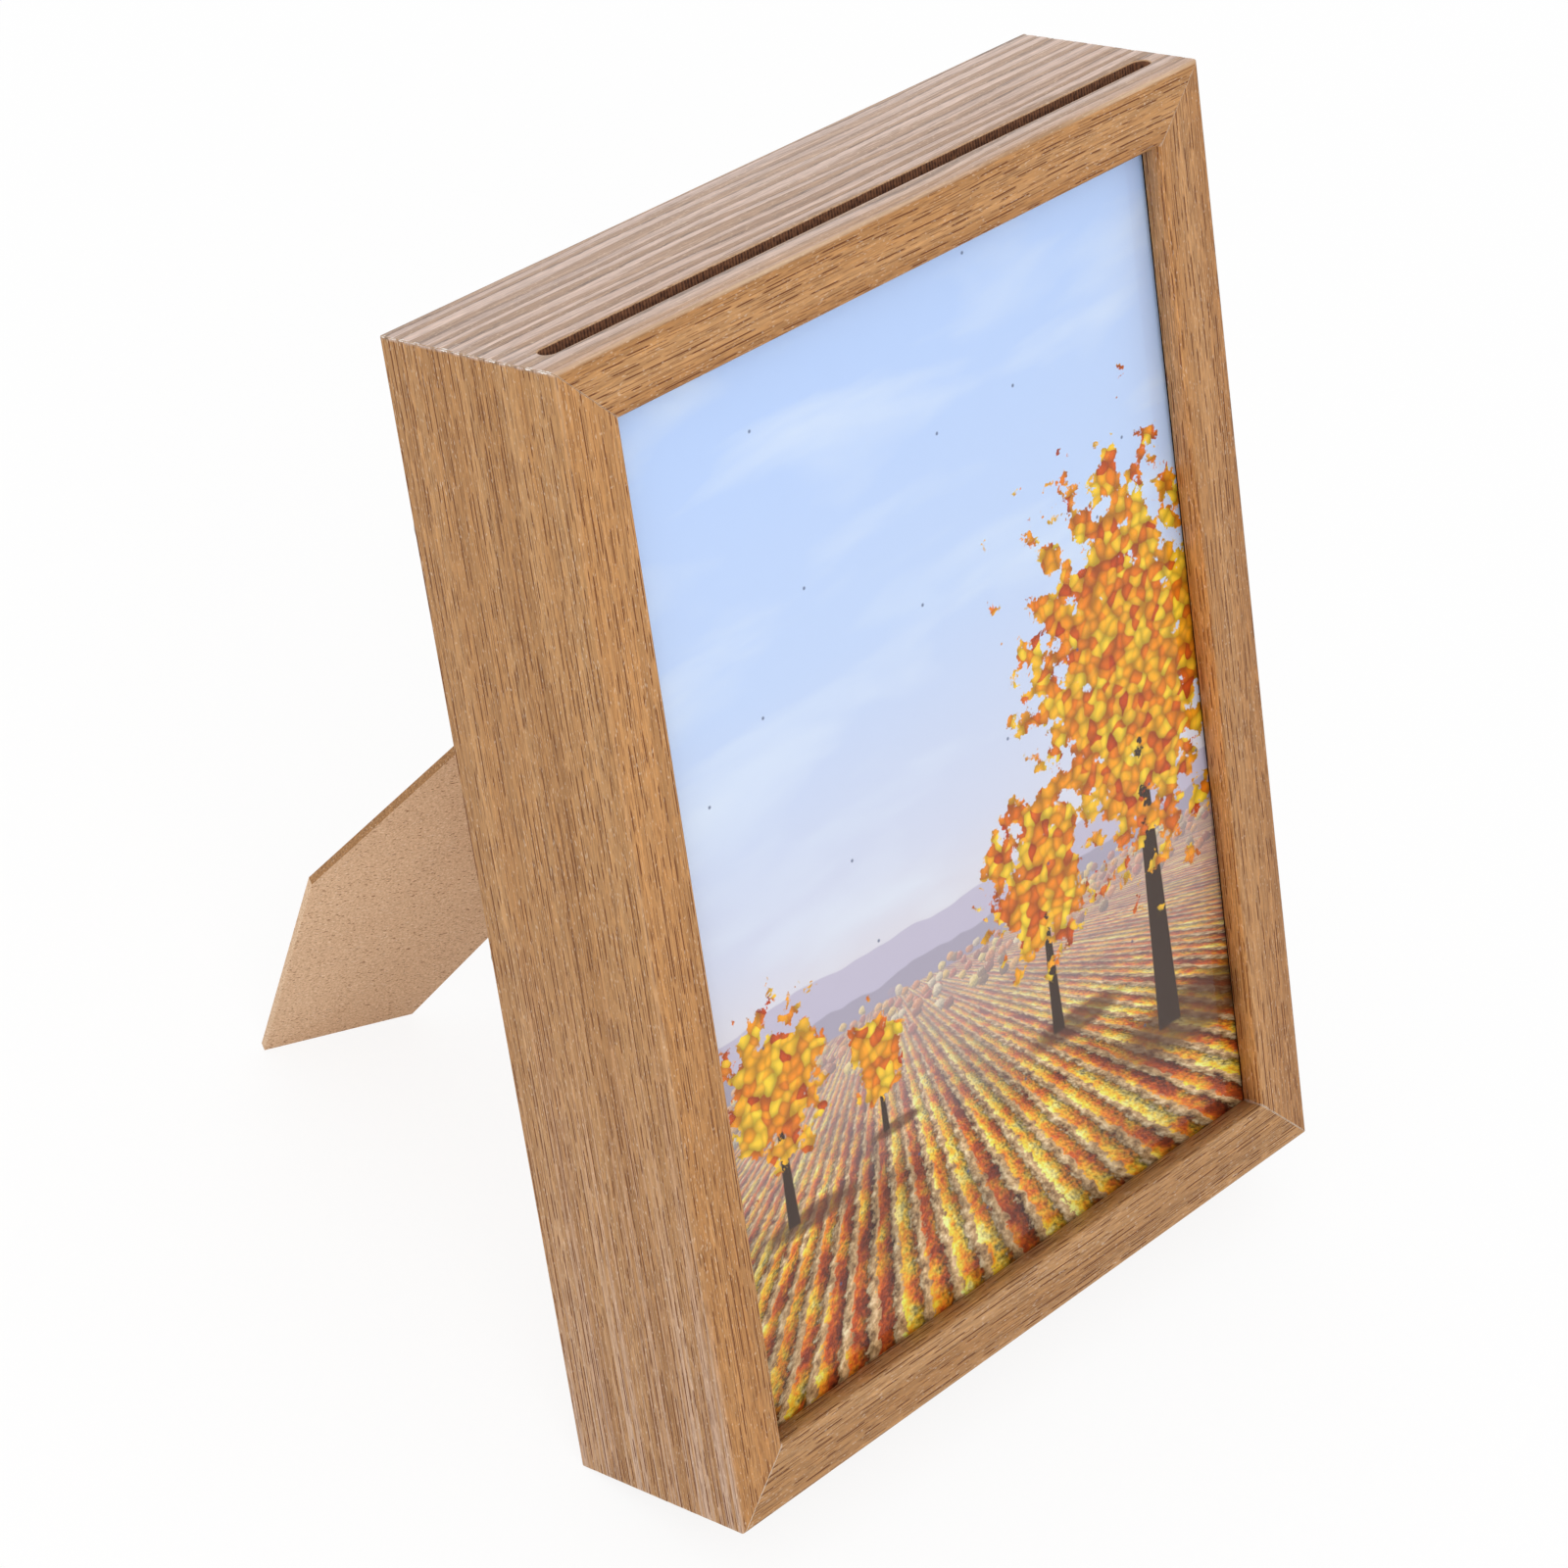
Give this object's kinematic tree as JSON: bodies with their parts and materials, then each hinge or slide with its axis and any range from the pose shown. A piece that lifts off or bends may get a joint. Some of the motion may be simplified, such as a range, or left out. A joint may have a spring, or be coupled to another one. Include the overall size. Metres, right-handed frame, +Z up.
{
  "type": "photo frame money box",
  "caption": "Deep wooden box frame that leans on a folding easel strut: a glazed print in front, a coin slot along the top, a money chamber inside and a removable back board.",
  "frame": {"origin": "on the floor, at the centre of the part's bounding box as it leans on its strut", "axes": "+Z up, +X to the right seen from the front, -Y towards the viewer; the box itself leans back 21.8 degrees about X"},
  "size_m": [0.17, 0.1636, 0.2311],
  "materials": {
    "oak_foil": "oak-grain foil on fibreboard, satin",
    "fibreboard": "raw fibreboard, matt, fine flecks",
    "clear_sheet": "clear, polished",
    "printed_paper": "printed photo paper, satin",
    "grey_card": "grey card, matt",
    "plated_steel": "zinc-plated pressed steel"
  },
  "bodies": {
    "frame": {"top_rail_front": "oak_foil", "top_rail_rear": "oak_foil", "bottom_rail": "oak_foil", "left_stile": "oak_foil", "right_stile": "oak_foil", "corner_nail_bottom_left": "plated_steel", "corner_nail_bottom_right": "plated_steel", "corner_nail_top_left": "plated_steel", "corner_nail_top_right": "plated_steel", "glazing": "clear_sheet", "print_sheet": "printed_paper", "backing_card": "grey_card", "spacer_left": "fibreboard", "spacer_right": "fibreboard", "spacer_bottom": "fibreboard", "back_board": "fibreboard", "button_screw_1": "plated_steel", "button_screw_2": "plated_steel", "button_screw_3": "plated_steel", "button_screw_4": "plated_steel", "button_screw_5": "plated_steel", "button_screw_6": "plated_steel", "hinge_board_leaf": "plated_steel", "hinge_pin": "plated_steel", "board_rivet_left": "plated_steel", "board_rivet_right": "plated_steel"},
    "strut": {"strut": "fibreboard", "hinge_strut_leaf": "plated_steel", "strut_rivet_left": "plated_steel", "strut_rivet_right": "plated_steel"},
    "turn_button_1": {"turn_button_1": "plated_steel"},
    "turn_button_2": {"turn_button_2": "plated_steel"},
    "turn_button_3": {"turn_button_3": "plated_steel"},
    "turn_button_4": {"turn_button_4": "plated_steel"},
    "turn_button_5": {"turn_button_5": "plated_steel"},
    "turn_button_6": {"turn_button_6": "plated_steel"}
  },
  "joints": [
    {"name": "strut_swing", "type": "hinge", "parent": "frame", "child": "strut", "pos_m": [0.006, 0.01861, 0.1457], "axis": [0.866, -0.1856, -0.4643], "range_deg": [-41.3, 0]},
    {"name": "turn_button_1_pivot", "type": "hinge", "parent": "frame", "child": "turn_button_1", "pos_m": [-0.07975, -0.00076, 0.10194], "axis": [0, 0.9286, -0.3712], "range_deg": [0, 90]},
    {"name": "turn_button_2_pivot", "type": "hinge", "parent": "frame", "child": "turn_button_2", "pos_m": [-0.07975, 0.03079, 0.18087], "axis": [0, 0.9286, -0.3712], "range_deg": [0, 90]},
    {"name": "turn_button_3_pivot", "type": "hinge", "parent": "frame", "child": "turn_button_3", "pos_m": [0, 0.04257, 0.21035], "axis": [0, 0.9286, -0.3712], "range_deg": [0, 90]},
    {"name": "turn_button_4_pivot", "type": "hinge", "parent": "frame", "child": "turn_button_4", "pos_m": [0.07975, 0.02151, 0.15765], "axis": [0, 0.9286, -0.3712], "range_deg": [0, 90]},
    {"name": "turn_button_5_pivot", "type": "hinge", "parent": "frame", "child": "turn_button_5", "pos_m": [0.07975, -0.01932, 0.05552], "axis": [0, 0.9286, -0.3712], "range_deg": [0, 90]},
    {"name": "turn_button_6_pivot", "type": "hinge", "parent": "frame", "child": "turn_button_6", "pos_m": [0.03, -0.03965, 0.00468], "axis": [0, 0.9286, -0.3712], "range_deg": [0, 90]}
  ]
}
